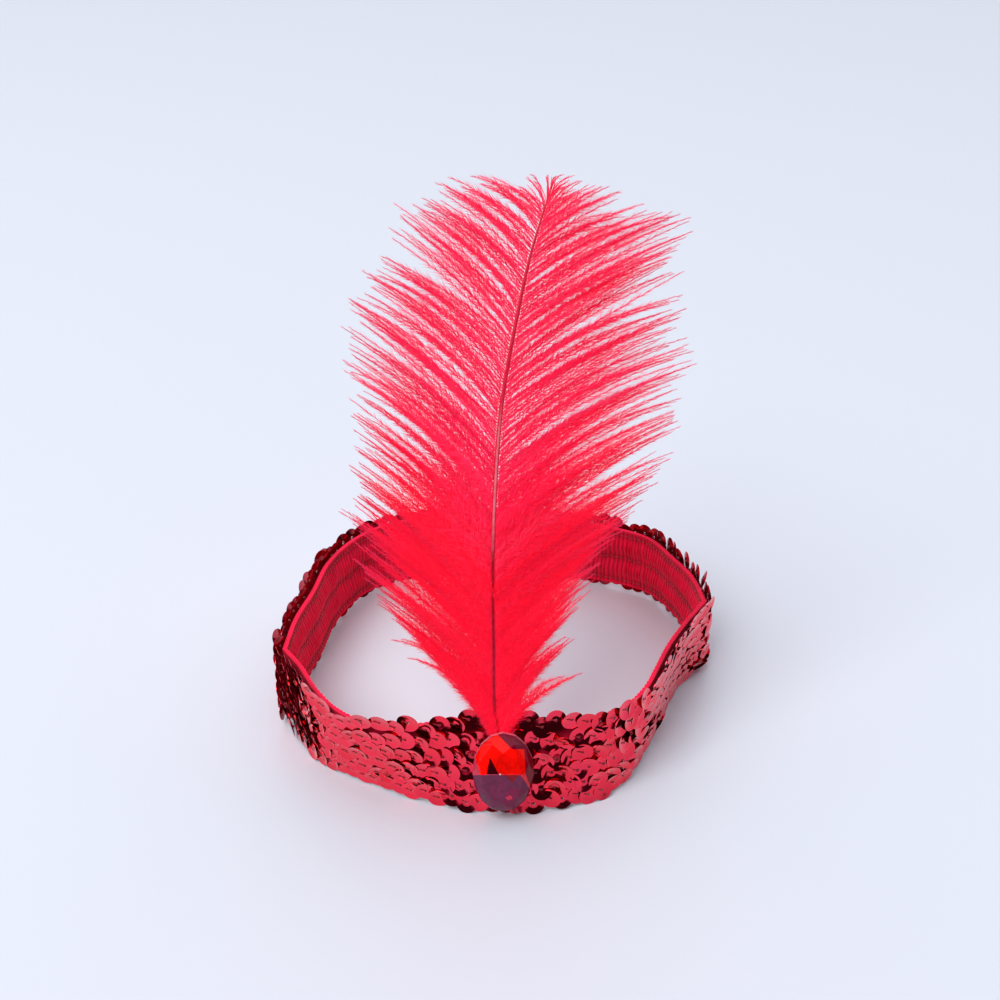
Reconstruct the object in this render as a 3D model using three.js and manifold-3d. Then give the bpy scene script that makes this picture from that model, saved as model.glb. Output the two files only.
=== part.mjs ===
// Flapper headband: a loop of gathered elastic ribbon covered with cup sequins, an ostrich feather
// standing at its front and an oval faceted stone over the feather's quill.
// Millimetres, +Z up, the stone faces -Y and the sequins stand on z = 0.
import * as THREE from 'three';
import { mergeVertices } from 'three/addons/utils/BufferGeometryUtils.js';
import Module from 'manifold-3d';

const wasm = await Module();
wasm.setup();

// Gap between pieces that lie against each other
const SEAT_GAP = 0.3;

// Elastic ribbon
const LOOP_WIDTH = 135;
const LOOP_DEPTH = 126;
const RIBBON_HEIGHT = 25.5;
const RIBBON_WALL = 1.3;
const PUFF_DEPTH = 0.7;
const STITCH_DEPTH = 0.3;

// Sequins
const SEQUIN_DIAMETER = 6;
const SEQUIN_ROWS = 5;
const SEQUIN_OVERHANG = 2.75;
const SEQUIN_BACKING = 0.9;
const SEQUIN_RELIEF = 1.5;
const EDGE_SCALLOP = 1.3;

// Stone
const STONE_WIDTH = 18;
const STONE_HEIGHT = 25;
const STONE_GIRDLE = 1.3;
const STONE_CROWN = 4.2;
const STONE_SIDES = 16;
const STONE_SHIFT = 1;

// Feather
const FEATHER_HEIGHT = 177;
const SHAFT_SWAY = 15;
const FEATHER_BOW = 6;
const QUILL_DIAMETER = 2.4;
const SHAFT_TIP_DIAMETER = 0.9;
const SHAFT_SIDES = 8;
const LEFT_REACH = 42;
const RIGHT_REACH = 52;
const VANE_CUP = 6;
const VANE_STRIP = 7;
const VANE_THICKNESS = 1.5;
const LOCK_PITCH = 10;
const LOCK_WIDTH = 12;

// The loop's lower edge, as shares of the half width and of the depth, and how far its upper edge
// lies right of it and behind it, as shares of the sequins' height. A fold is a packing crease.
const LOOP_ROWS = [
  { across: -1.0, back: 0.33, topRight: 0, topBack: 0, fold: true },
  { across: -0.92, back: 0.255, topRight: 0.03, topBack: 0 },
  { across: -0.81, back: 0.18, topRight: -0.03, topBack: -0.06 },
  { across: -0.68, back: 0.133, topRight: -0.11, topBack: -0.16 },
  { across: -0.55, back: 0.095, topRight: -0.14, topBack: -0.2 },
  { across: -0.385, back: 0.05, topRight: -0.09, topBack: -0.08 },
  { across: -0.2, back: 0.016, topRight: -0.03, topBack: 0.13 },
  { across: 0, back: 0, topRight: 0, topBack: 0.258 },
  { across: 0.22, back: 0.01, topRight: 0, topBack: 0.16 },
  { across: 0.4, back: 0.04, topRight: 0.02, topBack: 0.1 },
  { across: 0.52, back: 0.092, topRight: 0.06, topBack: 0.03 },
  { across: 0.615, back: 0.175, topRight: 0.08, topBack: -0.02 },
  { across: 0.695, back: 0.27, topRight: 0.07, topBack: -0.03 },
  { across: 0.755, back: 0.357, topRight: 0.08, topBack: -0.05 },
  { across: 0.84, back: 0.457, topRight: 0.1, topBack: -0.08 },
  { across: 1.0, back: 0.563, topRight: 0, topBack: -0.1, fold: true },
  { across: 0.975, back: 0.675, topRight: -0.03, topBack: -0.07 },
  { across: 0.925, back: 0.785, topRight: -0.1, topBack: -0.13 },
  { across: 0.8, back: 0.893, topRight: -0.06, topBack: -0.16 },
  { across: 0.56, back: 0.956, topRight: 0, topBack: -0.16 },
  { across: 0.27, back: 0.992, topRight: 0, topBack: -0.13 },
  { across: -0.06, back: 1.0, topRight: 0, topBack: -0.1 },
  { across: -0.355, back: 0.992, topRight: 0, topBack: -0.1 },
  { across: -0.59, back: 0.956, topRight: 0, topBack: -0.1 },
  { across: -0.755, back: 0.869, topRight: 0, topBack: -0.06 },
  { across: -0.865, back: 0.738, topRight: -0.02, topBack: -0.03 },
  { across: -0.91, back: 0.595, topRight: -0.03, topBack: -0.03 },
  { across: -0.965, back: 0.468, topRight: -0.03, topBack: -0.03 },
];

// The ribbon's inner face, from edge to edge: two puffs between three rows of stitches
const RIBBON_ROWS = [
  { up: 0, puff: 0 },
  { up: 0.09, puff: -1 },
  { up: 0.29, puff: 1 },
  { up: 0.5, puff: -1 },
  { up: 0.71, puff: 1 },
  { up: 0.91, puff: -1 },
  { up: 1, puff: 0 },
];

// The shaft, as shares of the feather's height and of its sway to the right
const SHAFT_ROWS = [
  { up: 0.009, right: 0.29 },
  { up: 0.146, right: -0.06 },
  { up: 0.3, right: -0.12 },
  { up: 0.43, right: -0.135 },
  { up: 0.545, right: -0.09 },
  { up: 0.67, right: 0.03 },
  { up: 0.785, right: 0.27 },
  { up: 0.89, right: 0.55 },
  { up: 0.98, right: 0.9 },
  { up: 1, right: 0.99 },
];

// Tips of the barbs: their height and distance from the quill's foot, as shares of the feather's
// height and of the vane's reach, and the rise of the barb that ends there, in degrees
const LEFT_TIPS = [
  { up: 0.165, out: 0.1, rise: 64 },
  { up: 0.23, out: 0.22, rise: 58 },
  { up: 0.3, out: 0.48, rise: 50 },
  { up: 0.37, out: 0.82, rise: 43 },
  { up: 0.46, out: 0.97, rise: 40 },
  { up: 0.6, out: 0.97, rise: 40 },
  { up: 0.77, out: 1, rise: 40 },
  { up: 0.86, out: 0.95, rise: 38 },
  { up: 0.93, out: 0.72, rise: 37 },
  { up: 0.972, out: 0.5, rise: 36 },
  { up: 0.99, out: 0.3, rise: 34 },
  { up: 1, out: 0.05, rise: 34 },
  { up: 1, out: -0.1, rise: 40 },
];
const RIGHT_TIPS = [
  { up: 0.165, out: 0.07, rise: 66 },
  { up: 0.24, out: 0.19, rise: 60 },
  { up: 0.315, out: 0.35, rise: 50 },
  { up: 0.385, out: 0.45, rise: 46 },
  { up: 0.46, out: 0.6, rise: 40 },
  { up: 0.535, out: 0.78, rise: 34 },
  { up: 0.617, out: 0.93, rise: 30 },
  { up: 0.72, out: 0.96, rise: 28 },
  { up: 0.805, out: 1, rise: 27 },
  { up: 0.87, out: 0.96, rise: 27 },
  { up: 0.93, out: 0.87, rise: 28 },
  { up: 0.967, out: 0.72, rise: 29 },
  { up: 0.99, out: 0.55, rise: 30 },
  { up: 1, out: 0.44, rise: 36 },
  { up: 1, out: 0.34, rise: 50 },
];

const FIELD_HEIGHT = RIBBON_HEIGHT + 2 * SEQUIN_OVERHANG;
const RIBBON_FACE = RIBBON_WALL / 2;
const FIELD_BACK = RIBBON_FACE + SEAT_GAP;
const PRESSED_FACE = FIELD_BACK + SEQUIN_BACKING;

function paint(color, roughness, metalness) {
  return new THREE.MeshStandardMaterial({ color, roughness, metalness });
}

function piece(name, geometry, material) {
  const mesh = new THREE.Mesh(geometry, material);
  mesh.name = name;
  return mesh;
}

function indexed(points, triangles) {
  const geometry = new THREE.BufferGeometry().setFromPoints(points);
  geometry.setIndex(triangles.flat());
  geometry.computeVertexNormals();
  return geometry;
}

// Two triangles over the four corners of a cell, in turning order
function cell(a, b, c, d) {
  return [[a, b, c], [a, c, d]];
}

// A curve through the rows at one edge of the wall, for each stretch between two folds
function edgeCurves(place) {
  const second = LOOP_ROWS.findIndex((row, index) => index > 0 && row.fold);
  const stretches = [LOOP_ROWS.slice(0, second + 1), [...LOOP_ROWS.slice(second), LOOP_ROWS[0]]];
  return stretches.map((rows) => new THREE.CatmullRomCurve3(rows.map(place)));
}

function lowerPlace(row) {
  return new THREE.Vector3(row.across * LOOP_WIDTH / 2, row.back * LOOP_DEPTH, 0);
}

function upperPlace(row) {
  const lean = new THREE.Vector3(row.topRight, row.topBack, 1).multiplyScalar(FIELD_HEIGHT);
  return lowerPlace(row).add(lean);
}

// Stations along the loop, two to a sequin, each with its lower and upper point in the wall's middle
function loopStations() {
  const lower = edgeCurves(lowerPlace);
  const upper = edgeCurves(upperPlace);
  const stations = [];
  lower.forEach((curve, index) => {
    const count = 2 * Math.round(curve.getLength() / SEQUIN_DIAMETER);
    for (let step = 0; step < count; step += 1) {
      const share = curve.getUtoTmapping(step / count);
      stations.push({ lower: curve.getPoint(share), upper: upper[index].getPoint(share) });
    }
  });
  return stations;
}

// Each station's outward direction in plan, lengthened at a fold so that the wall keeps its thickness
function addOutward(stations) {
  const middles = stations.map((station) => station.lower.clone().lerp(station.upper, 0.5).setZ(0));
  stations.forEach((station, index) => {
    const before = middles.at(index - 1);
    const after = middles[(index + 1) % middles.length];
    const arriving = middles[index].clone().sub(before).normalize();
    const leaving = after.clone().sub(middles[index]).normalize();
    const along = arriving.clone().add(leaving).normalize();
    station.outward = new THREE.Vector3(along.y, -along.x, 0).divideScalar(along.dot(arriving));
    station.middle = middles[index];
  });
  return stations;
}

const stations = addOutward(loopStations());

function wallPoint(station, height, out) {
  const point = station.lower.clone().lerp(station.upper, height / FIELD_HEIGHT);
  return point.addScaledVector(station.outward, out);
}

// A closed ring from one closed section per station, each section turning from inside to outside.
// Every cell is split from its lower corner to the next station's upper one, so that two walls
// which face each other stay parallel where the loop twists.
function ring(sections) {
  const sides = sections[0].length;
  const triangles = [];
  sections.forEach((section, index) => {
    const here = index * sides;
    const next = ((index + 1) % sections.length) * sides;
    section.forEach((point, side) => {
      const other = (side + 1) % sides;
      if (point.z < section[other].z) {
        triangles.push(...cell(here + side, here + other, next + other, next + side));
      } else {
        triangles.push(...cell(here + other, next + other, next + side, here + side));
      }
    });
  });
  return indexed(sections.flat(), triangles);
}

// Ribbon: gathered on its inner face, full at every other station
function ribbonSection(station, index) {
  const fullness = index % 2 === 0 ? 1 : 0.4;
  const inner = RIBBON_ROWS.map((row) => {
    const relief = row.puff > 0 ? row.puff * PUFF_DEPTH * fullness : row.puff * STITCH_DEPTH;
    const height = SEQUIN_OVERHANG + row.up * RIBBON_HEIGHT;
    return wallPoint(station, height, -RIBBON_FACE - relief);
  });
  const outer = [SEQUIN_OVERHANG + RIBBON_HEIGHT, SEQUIN_OVERHANG].map((height) => (
    wallPoint(station, height, RIBBON_FACE)));
  return [...inner, ...outer];
}

// Sequins: rows of lobes that break joint from row to row, pressed flat behind the stone
function reliefShare(station) {
  const aside = Math.abs(station.middle.x - STONE_SHIFT) - STONE_WIDTH / 2;
  const atFront = station.middle.y < LOOP_DEPTH / 2;
  return atFront ? THREE.MathUtils.smoothstep(aside, 0, SEQUIN_DIAMETER) : 1;
}

function sequinSection(station, index) {
  const relief = SEQUIN_RELIEF * reliefShare(station);
  const lobe = (row) => ((index + row) % 2 === 0 ? 1 : 0.45);
  const rowHeight = FIELD_HEIGHT / SEQUIN_ROWS;
  const lowerLip = EDGE_SCALLOP * (1.4 - lobe(0));
  const upperEdge = FIELD_HEIGHT - EDGE_SCALLOP * (1 - lobe(SEQUIN_ROWS - 1));
  const face = [wallPoint(station, lowerLip, PRESSED_FACE + relief / 2)];
  for (let row = 0; row < SEQUIN_ROWS; row += 1) {
    face.push(wallPoint(station, (row + 0.5) * rowHeight, PRESSED_FACE + relief * lobe(row)));
    if (row < SEQUIN_ROWS - 1) {
      face.push(wallPoint(station, (row + 1) * rowHeight, PRESSED_FACE + relief / 4));
    }
  }
  const foot = wallPoint(station, 0, PRESSED_FACE);
  const crown = wallPoint(station, upperEdge, PRESSED_FACE + relief / 2);
  const backTop = wallPoint(station, upperEdge, FIELD_BACK);
  const backFoot = wallPoint(station, 0, FIELD_BACK);
  return [backFoot, backTop, crown, ...face.reverse(), foot];
}

// Front of the wall, where the stone and the quill lie
const frontRow = LOOP_ROWS.find((row) => row.across === 0);
const frontLean = Math.atan(frontRow.topBack);
const quillOffset = PRESSED_FACE + (SEAT_GAP + QUILL_DIAMETER / 2) / Math.cos(frontLean);
const stoneOffset = PRESSED_FACE + (2 * SEAT_GAP + QUILL_DIAMETER) / Math.cos(frontLean);

function frontDepth(height, out) {
  return frontRow.back * LOOP_DEPTH + frontRow.topBack * height - out;
}

// Stone: flat back, upright girdle, two rings of crown facets and a table
function stoneRing(count, turn, share, height) {
  const points = [];
  for (let side = 0; side < count; side += 1) {
    const angle = ((side + turn) / count) * 2 * Math.PI + Math.PI / 2;
    const x = Math.cos(angle) * share * STONE_WIDTH / 2;
    const y = Math.sin(angle) * share * STONE_HEIGHT / 2;
    points.push(new THREE.Vector3(x, y, height));
  }
  return points;
}

function stoneGeometry() {
  const half = STONE_SIDES / 2;
  const rings = [
    stoneRing(STONE_SIDES, 0, 1, 0),
    stoneRing(STONE_SIDES, 0, 1, STONE_GIRDLE),
    stoneRing(half, 0.5, 0.87, STONE_GIRDLE + STONE_CROWN * 0.6),
    stoneRing(half, 0, 0.64, STONE_GIRDLE + STONE_CROWN),
  ];
  const starts = [0, STONE_SIDES, 2 * STONE_SIDES, 2 * STONE_SIDES + half];
  const triangles = [];
  for (let side = 0; side < STONE_SIDES; side += 1) {
    const other = (side + 1) % STONE_SIDES;
    triangles.push(...cell(side, other, STONE_SIDES + other, STONE_SIDES + side));
  }
  for (let side = 0; side < half; side += 1) {
    const other = (side + 1) % half;
    const girdle = starts[1] + 2 * side;
    const girdleAfter = starts[1] + ((2 * side + 2) % STONE_SIDES);
    triangles.push([girdle, girdle + 1, starts[2] + side]);
    triangles.push([girdle + 1, girdleAfter, starts[2] + side]);
    triangles.push([girdleAfter, starts[2] + other, starts[2] + side]);
    triangles.push([starts[2] + side, starts[2] + other, starts[3] + other]);
    triangles.push([starts[3] + side, starts[2] + side, starts[3] + other]);
  }
  for (let side = 1; side < half - 1; side += 1) {
    triangles.push([starts[3], starts[3] + side, starts[3] + side + 1]);
  }
  for (let side = 1; side < STONE_SIDES - 1; side += 1) {
    triangles.push([0, side + 1, side]);
  }
  return indexed(rings.flat(), triangles);
}

// The feather's sheet: it follows the wall's lean, bows backward and cups away from the shaft
const shaftCurve = new THREE.CatmullRomCurve3(SHAFT_ROWS.map((row) => (
  new THREE.Vector3(row.right * SHAFT_SWAY, 0, row.up * FEATHER_HEIGHT))));
const shaftTrace = shaftCurve.getPoints(120);

function shaftRight(height) {
  const last = shaftTrace.length - 1;
  const index = THREE.MathUtils.clamp(shaftTrace.findIndex((point) => point.z > height), 1, last);
  const after = shaftTrace[index];
  const before = shaftTrace[index - 1];
  const share = THREE.MathUtils.clamp((height - before.z) / (after.z - before.z), 0, 1);
  return THREE.MathUtils.lerp(before.x, after.x, share);
}

function shaftRadius(height) {
  const taper = THREE.MathUtils.clamp((height - FIELD_HEIGHT) / (FEATHER_HEIGHT - FIELD_HEIGHT), 0, 1);
  return THREE.MathUtils.lerp(QUILL_DIAMETER, SHAFT_TIP_DIAMETER, Math.sqrt(taper)) / 2;
}

function sheetDepth(height) {
  const above = Math.max(height - FIELD_HEIGHT, 0) / (FEATHER_HEIGHT - FIELD_HEIGHT);
  return frontDepth(height, quillOffset) + FEATHER_BOW * above * above;
}

function sheetPoint(right, height, reach, forward) {
  const cup = VANE_CUP * ((right - shaftRight(height)) / reach) ** 2;
  return new THREE.Vector3(right, sheetDepth(height) + cup - forward, height);
}

// A closed bar from rings of points, capped at both ends
function bar(rings) {
  const sides = rings[0].length;
  const triangles = [];
  for (let index = 0; index < rings.length - 1; index += 1) {
    for (let side = 0; side < sides; side += 1) {
      const here = index * sides;
      const other = (side + 1) % sides;
      triangles.push(...cell(here + side, here + other, here + sides + other, here + sides + side));
    }
  }
  const last = (rings.length - 1) * sides;
  for (let side = 1; side < sides - 1; side += 1) {
    triangles.push([0, side + 1, side]);
    triangles.push([last, last + side, last + side + 1]);
  }
  return indexed(rings.flat(), triangles);
}

// The shaft, or with a margin the channel that the vanes leave free round it
function shaftGeometry(margin) {
  const steps = 20;
  const rings = [];
  for (let step = 0; step <= steps; step += 1) {
    const middle = shaftCurve.getPointAt(step / steps);
    const along = shaftCurve.getTangentAt(step / steps);
    const side = new THREE.Vector3(along.z, 0, -along.x);
    const radius = shaftRadius(middle.z) + margin;
    middle.y = sheetDepth(middle.z);
    rings.push(Array.from({ length: SHAFT_SIDES }, (_, index) => {
      const angle = (index / SHAFT_SIDES) * 2 * Math.PI;
      const point = middle.clone().addScaledVector(side, radius * Math.cos(angle));
      return point.add(new THREE.Vector3(0, radius * Math.sin(angle), 0));
    }));
  }
  return bar(rings);
}

// One lock of barbs: it leaves the shaft, arches outward and ends in a thin tip
function lockRings(root, tip, reach) {
  const bend = new THREE.Vector2(
    THREE.MathUtils.lerp(root.x, tip.x, 0.45),
    THREE.MathUtils.lerp(root.y, tip.y, 0.58),
  );
  const path = new THREE.QuadraticBezierCurve(root, bend, tip);
  const widths = [0.4, 1, 0.85, 0.1];
  const fullWidth = Math.min(LOCK_WIDTH, root.distanceTo(tip) / 2.5);
  return widths.map((share, index) => {
    const where = index / (widths.length - 1);
    const middle = path.getPoint(where);
    const along = path.getTangent(where);
    const half = (share * fullWidth) / 2;
    const thick = (VANE_THICKNESS / 2) * (1 - 0.55 * where);
    const upper = sheetPoint(middle.x - along.y * half, middle.y + along.x * half, reach, 0);
    const front = sheetPoint(middle.x, middle.y, reach, thick);
    const lower = sheetPoint(middle.x + along.y * half, middle.y - along.x * half, reach, 0);
    const rear = sheetPoint(middle.x, middle.y, reach, -thick);
    return [upper, front, lower, rear];
  });
}

// A place on the sheet, square to the shaft and clear of it
function besideShaft(height, side, out) {
  const run = shaftRight(height + 1) - shaftRight(height - 1);
  const across = new THREE.Vector2(2, -run).setLength(side * (shaftRadius(height) + SEAT_GAP + out));
  return across.add(new THREE.Vector2(shaftRight(height), height));
}

// The backing strip along the shaft, which every lock of a vane is fused to
function stripRings(side, reach, roots) {
  const steps = 16;
  const half = VANE_THICKNESS / 3;
  const rings = [];
  for (let step = 0; step <= steps; step += 1) {
    const height = THREE.MathUtils.lerp(roots[0], roots[1], step / steps);
    const fullness = Math.min(1, 0.5 + Math.min(step, steps - step) / 4);
    const start = besideShaft(height, side, 0);
    const end = besideShaft(height, side, VANE_STRIP * fullness);
    const corner = (place, forward) => sheetPoint(place.x, place.y, reach, forward);
    const corners = [corner(start, half), corner(end, half), corner(end, -half), corner(start, -half)];
    rings.push(side > 0 ? corners : corners.reverse());
  }
  return rings;
}

function toManifold(geometry) {
  geometry.deleteAttribute('normal');
  geometry.deleteAttribute('uv');
  const merged = mergeVertices(geometry);
  const vertProperties = new Float32Array(merged.attributes.position.array);
  const triVerts = new Uint32Array(merged.index.array);
  return new wasm.Manifold(new wasm.Mesh({ numProp: 3, vertProperties, triVerts }));
}

function fromManifold(solid) {
  const mesh = solid.getMesh();
  const geometry = new THREE.BufferGeometry();
  geometry.setAttribute('position', new THREE.BufferAttribute(mesh.vertProperties, 3));
  geometry.setIndex(new THREE.BufferAttribute(mesh.triVerts, 1));
  geometry.computeVertexNormals();
  return geometry;
}

function vaneGeometry(side, reach, rows) {
  const outline = new THREE.CatmullRomCurve3(rows.map((row) => new THREE.Vector3(
    side * row.out * reach, row.up * FEATHER_HEIGHT, THREE.MathUtils.degToRad(row.rise))));
  const count = Math.round(outline.getLength() / LOCK_PITCH);
  const locks = [];
  for (let index = 0; index < count; index += 1) {
    const tip = outline.getPointAt((index + 0.5) / count);
    let height = tip.y;
    for (let round = 0; round < 6; round += 1) {
      height = tip.y - Math.abs(tip.x - shaftRight(height)) * Math.tan(tip.z);
    }
    const root = besideShaft(height, side, VANE_STRIP / 3);
    locks.push({ root, tip: new THREE.Vector2(tip.x, tip.y), height });
  }
  const roots = [locks[0].height, locks.at(-1).height];
  let vane = toManifold(bar(stripRings(side, reach, roots)));
  for (const lock of locks) {
    vane = vane.add(toManifold(bar(lockRings(lock.root, lock.tip, reach))));
  }
  return fromManifold(vane.subtract(toManifold(shaftGeometry(SEAT_GAP))));
}

const ribbon = piece('stretch_band', ring(stations.map(ribbonSection)), paint(0xa80f2c, 0.85, 0));
const sequins = piece('sequin_layer', ring(stations.map(sequinSection)), paint(0xc01838, 0.25, 0.6));
const shaft = piece('feather_shaft', shaftGeometry(0), paint(0xf05070, 0.5, 0));
const leftVane = piece('left_vane', vaneGeometry(-1, LEFT_REACH, LEFT_TIPS), paint(0xff2f55, 0.9, 0));
const rightVane = piece('right_vane', vaneGeometry(1, RIGHT_REACH, RIGHT_TIPS), paint(0xff2f55, 0.9, 0));

const stone = piece('gem', stoneGeometry(), paint(0xd01020, 0.08, 0.1));
const stoneHeight = FIELD_HEIGHT / 2;
stone.position.set(STONE_SHIFT, frontDepth(stoneHeight, stoneOffset), stoneHeight);
stone.rotation.x = Math.PI / 2 - frontLean;

// The origin is under the middle of the whole, on the surface that it stands on
const headband = new THREE.Group();
headband.add(ribbon, sequins, shaft, leftVane, rightVane, stone);
const bounds = new THREE.Box3().setFromObject(headband, true);
const middle = bounds.getCenter(new THREE.Vector3());
headband.position.set(-middle.x, -middle.y, -bounds.min.z);

export default headband;
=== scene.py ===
import math
import bmesh
import bpy
import numpy as np
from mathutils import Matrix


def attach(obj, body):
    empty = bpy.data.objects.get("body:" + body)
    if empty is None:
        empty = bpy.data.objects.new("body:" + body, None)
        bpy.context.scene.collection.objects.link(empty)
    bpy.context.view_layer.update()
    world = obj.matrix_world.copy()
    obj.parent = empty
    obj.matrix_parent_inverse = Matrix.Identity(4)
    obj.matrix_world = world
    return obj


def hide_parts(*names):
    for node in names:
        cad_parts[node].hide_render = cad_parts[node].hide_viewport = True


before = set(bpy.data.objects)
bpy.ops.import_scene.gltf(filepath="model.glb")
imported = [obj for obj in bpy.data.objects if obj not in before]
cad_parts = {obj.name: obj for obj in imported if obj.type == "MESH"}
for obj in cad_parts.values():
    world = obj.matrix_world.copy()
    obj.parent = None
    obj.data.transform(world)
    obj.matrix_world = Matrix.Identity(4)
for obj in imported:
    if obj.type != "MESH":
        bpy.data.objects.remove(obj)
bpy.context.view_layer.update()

# The studio: a pale sheet of card to stand the headband on, lit by a big soft lamp at the front left
# and by a pale back wall and the light overhead. The card ends just in front of the picture, and the
# room beyond it is dark, which is what the dark sequins mirror. Nothing here belongs to the headband.
CARD_COLOUR = (0.60, 0.62, 0.685)
CARD_FRONT = -0.152
CARD_BACK = 4.0
CARD_SIDE = 3.0
CAMERA_PLACE = (0.0, -0.3748, 0.2875)
CAMERA_PITCH = math.radians(60)
CAMERA_LENS = 50.4
AIR_PALE = (0.90, 0.94, 1.0, 1.0)
AIR_DARK = (0.018, 0.016, 0.022, 1.0)
AIR_STRENGTH = 1.24
LAMP_PLACE = (-1.42, -1.70, 2.75)
LAMP_SIZE = 2.2
LAMP_POWER = 107.0


def new_material(name, colour, roughness, settings=None):
    material = bpy.data.materials.new(name)
    material.use_nodes = True
    shader = material.node_tree.nodes["Principled BSDF"]
    shader.inputs["Base Color"].default_value = (*colour[:3], 1)
    shader.inputs["Roughness"].default_value = roughness
    for socket, value in (settings or {}).items():
        shader.inputs[socket].default_value = value
    return material, shader


def add_node(owner, kind, inputs=None, **options):
    """A node of a material or world; an input is given as a value or as another node's socket."""
    made = owner.node_tree.nodes.new(kind)
    for name, value in options.items():
        setattr(made, name, value)
    for name, value in (inputs or {}).items():
        if isinstance(value, bpy.types.NodeSocket):
            owner.node_tree.links.new(value, made.inputs[name])
        else:
            made.inputs[name].default_value = value
    return made


def blend(owner, share, first, second, how="MIX"):
    """The socket of a colour between two others, each given as a value or as a socket."""
    mix = add_node(owner, "ShaderNodeMixRGB", {"Fac": share, "Color1": first, "Color2": second},
                   blend_type=how)
    return mix.outputs["Color"]


def feed(owner, socket, shader, name):
    """Leads a node's output into one of a shader's inputs."""
    owner.node_tree.links.new(socket, shader.inputs[name])


card_mesh = bpy.data.meshes.new("card")
card_mesh.from_pydata(
    [(-CARD_SIDE, CARD_FRONT, 0), (CARD_SIDE, CARD_FRONT, 0),
     (CARD_SIDE, CARD_BACK, 0), (-CARD_SIDE, CARD_BACK, 0)], [], [(0, 1, 2, 3)])
card = bpy.data.objects.new("card", card_mesh)
bpy.context.scene.collection.objects.link(card)
card_material, _ = new_material("pale_card", CARD_COLOUR, 0.42, {"Specular IOR Level": 0.35})
card_mesh.materials.append(card_material)

air = bpy.data.worlds.new("studio_air")
bpy.context.scene.world = air
air.use_nodes = True
heading = add_node(air, "ShaderNodeTexCoord").outputs["Generated"]
heading = add_node(air, "ShaderNodeSeparateXYZ", {"Vector": heading}).outputs
ceiling = add_node(air, "ShaderNodeMapRange", {"Value": heading["Z"], "From Min": 0.72, "From Max": 0.90},
                   interpolation_type="SMOOTHSTEP").outputs["Result"]
back_wall = add_node(air, "ShaderNodeMapRange", {"Value": heading["Y"], "From Min": -0.25, "From Max": 0.35},
                     interpolation_type="SMOOTHSTEP").outputs["Result"]
pale_share = add_node(air, "ShaderNodeMath", {0: ceiling, 1: back_wall}, operation="MAXIMUM").outputs[0]
air_shader = air.node_tree.nodes["Background"]
feed(air, blend(air, pale_share, AIR_DARK, AIR_PALE), air_shader, "Color")
air_shader.inputs["Strength"].default_value = AIR_STRENGTH

lamp_data = bpy.data.lights.new("soft_lamp", "AREA")
lamp_data.energy = LAMP_POWER
lamp_data.size = LAMP_SIZE
lamp = bpy.data.objects.new("soft_lamp", lamp_data)
bpy.context.scene.collection.objects.link(lamp)
lamp.location = LAMP_PLACE
lamp.rotation_mode = "QUATERNION"
lamp.rotation_quaternion = lamp.location.to_track_quat("Z", "Y")

camera_data = bpy.data.cameras.new("camera")
camera_data.lens = CAMERA_LENS
camera_data.sensor_width = 36
camera_data.clip_start = 0.01
camera = bpy.data.objects.new("camera", camera_data)
bpy.context.scene.collection.objects.link(camera)
camera.location = CAMERA_PLACE
camera.rotation_euler = (CAMERA_PITCH, 0, 0)
bpy.context.scene.camera = camera
bpy.context.scene.view_settings.view_transform = "Standard"

# The ribbon: a loop of red elastic, about 26 mm wide, gathered by three rows of stitching so that
# its inner face stands in fine upright folds and two soft puffs. Packing has left a crease at each
# side. From here on lengths are in millimetres, in the loop's own frame.
MM = 0.001
LOOP_SHIFT = np.array([-0.023, -60.382, 0.0])
LOOP_WIDTH = 135.0
LOOP_DEPTH = 126.0
RIBBON_HEIGHT = 25.5
RIBBON_WALL = 1.3
RIBBON_COLOUR = (0.88, 0.004, 0.055)
RIBBON_SHADE = (0.36, 0.001, 0.018)
RIBBON_OUTSIDE_ROWS = 6
PUFF_DEPTH = 0.7
STITCH_DEPTH = 0.3
FIELD_HEIGHT = 31.0
RIBBON_LIFT = (FIELD_HEIGHT - RIBBON_HEIGHT) / 2
FOLD_WIDTH = (0.9, 2.0)
FOLD_DEPTH = 0.60
SEAM_WANDER = 0.022
CREASE_ROUNDING = 1.5
SPAN_STEPS = 40
# The loop's lower edge from the left crease round the front to the right crease and back, as shares
# of the half width and the depth, and how far its upper edge lies right of it and behind it.
LOOP_ROWS = [  # across, back, top_right, top_back
    (-1.0, 0.33, 0, 0), (-0.92, 0.255, 0.03, 0), (-0.81, 0.18, -0.03, -0.06),
    (-0.68, 0.133, -0.11, -0.16), (-0.55, 0.095, -0.14, -0.2), (-0.385, 0.05, -0.09, -0.08),
    (-0.2, 0.016, -0.03, 0.13), (0, 0, 0, 0.258), (0.22, 0.01, 0, 0.16), (0.4, 0.04, 0.02, 0.1),
    (0.52, 0.092, 0.06, 0.03), (0.615, 0.175, 0.08, -0.02), (0.695, 0.27, 0.07, -0.03),
    (0.755, 0.357, 0.08, -0.05), (0.84, 0.457, 0.1, -0.08), (1.0, 0.563, 0, -0.1),
    (0.975, 0.675, -0.03, -0.07), (0.925, 0.785, -0.1, -0.13), (0.8, 0.893, -0.06, -0.16),
    (0.56, 0.956, 0, -0.16), (0.27, 0.992, 0, -0.13), (-0.06, 1.0, 0, -0.1),
    (-0.355, 0.992, 0, -0.1), (-0.59, 0.956, 0, -0.1), (-0.755, 0.869, 0, -0.06),
    (-0.865, 0.738, -0.02, -0.03), (-0.91, 0.595, -0.03, -0.03), (-0.965, 0.468, -0.03, -0.03),
]
RIGHT_CREASE = 15
# The inner face from edge to edge: puffs stand out between the three stitched valleys.
RIBBON_ROWS = [(0, 0), (0.09, -1), (0.29, 1), (0.5, -1), (0.71, 1), (0.91, -1), (1, 0)]  # up, puff


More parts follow.
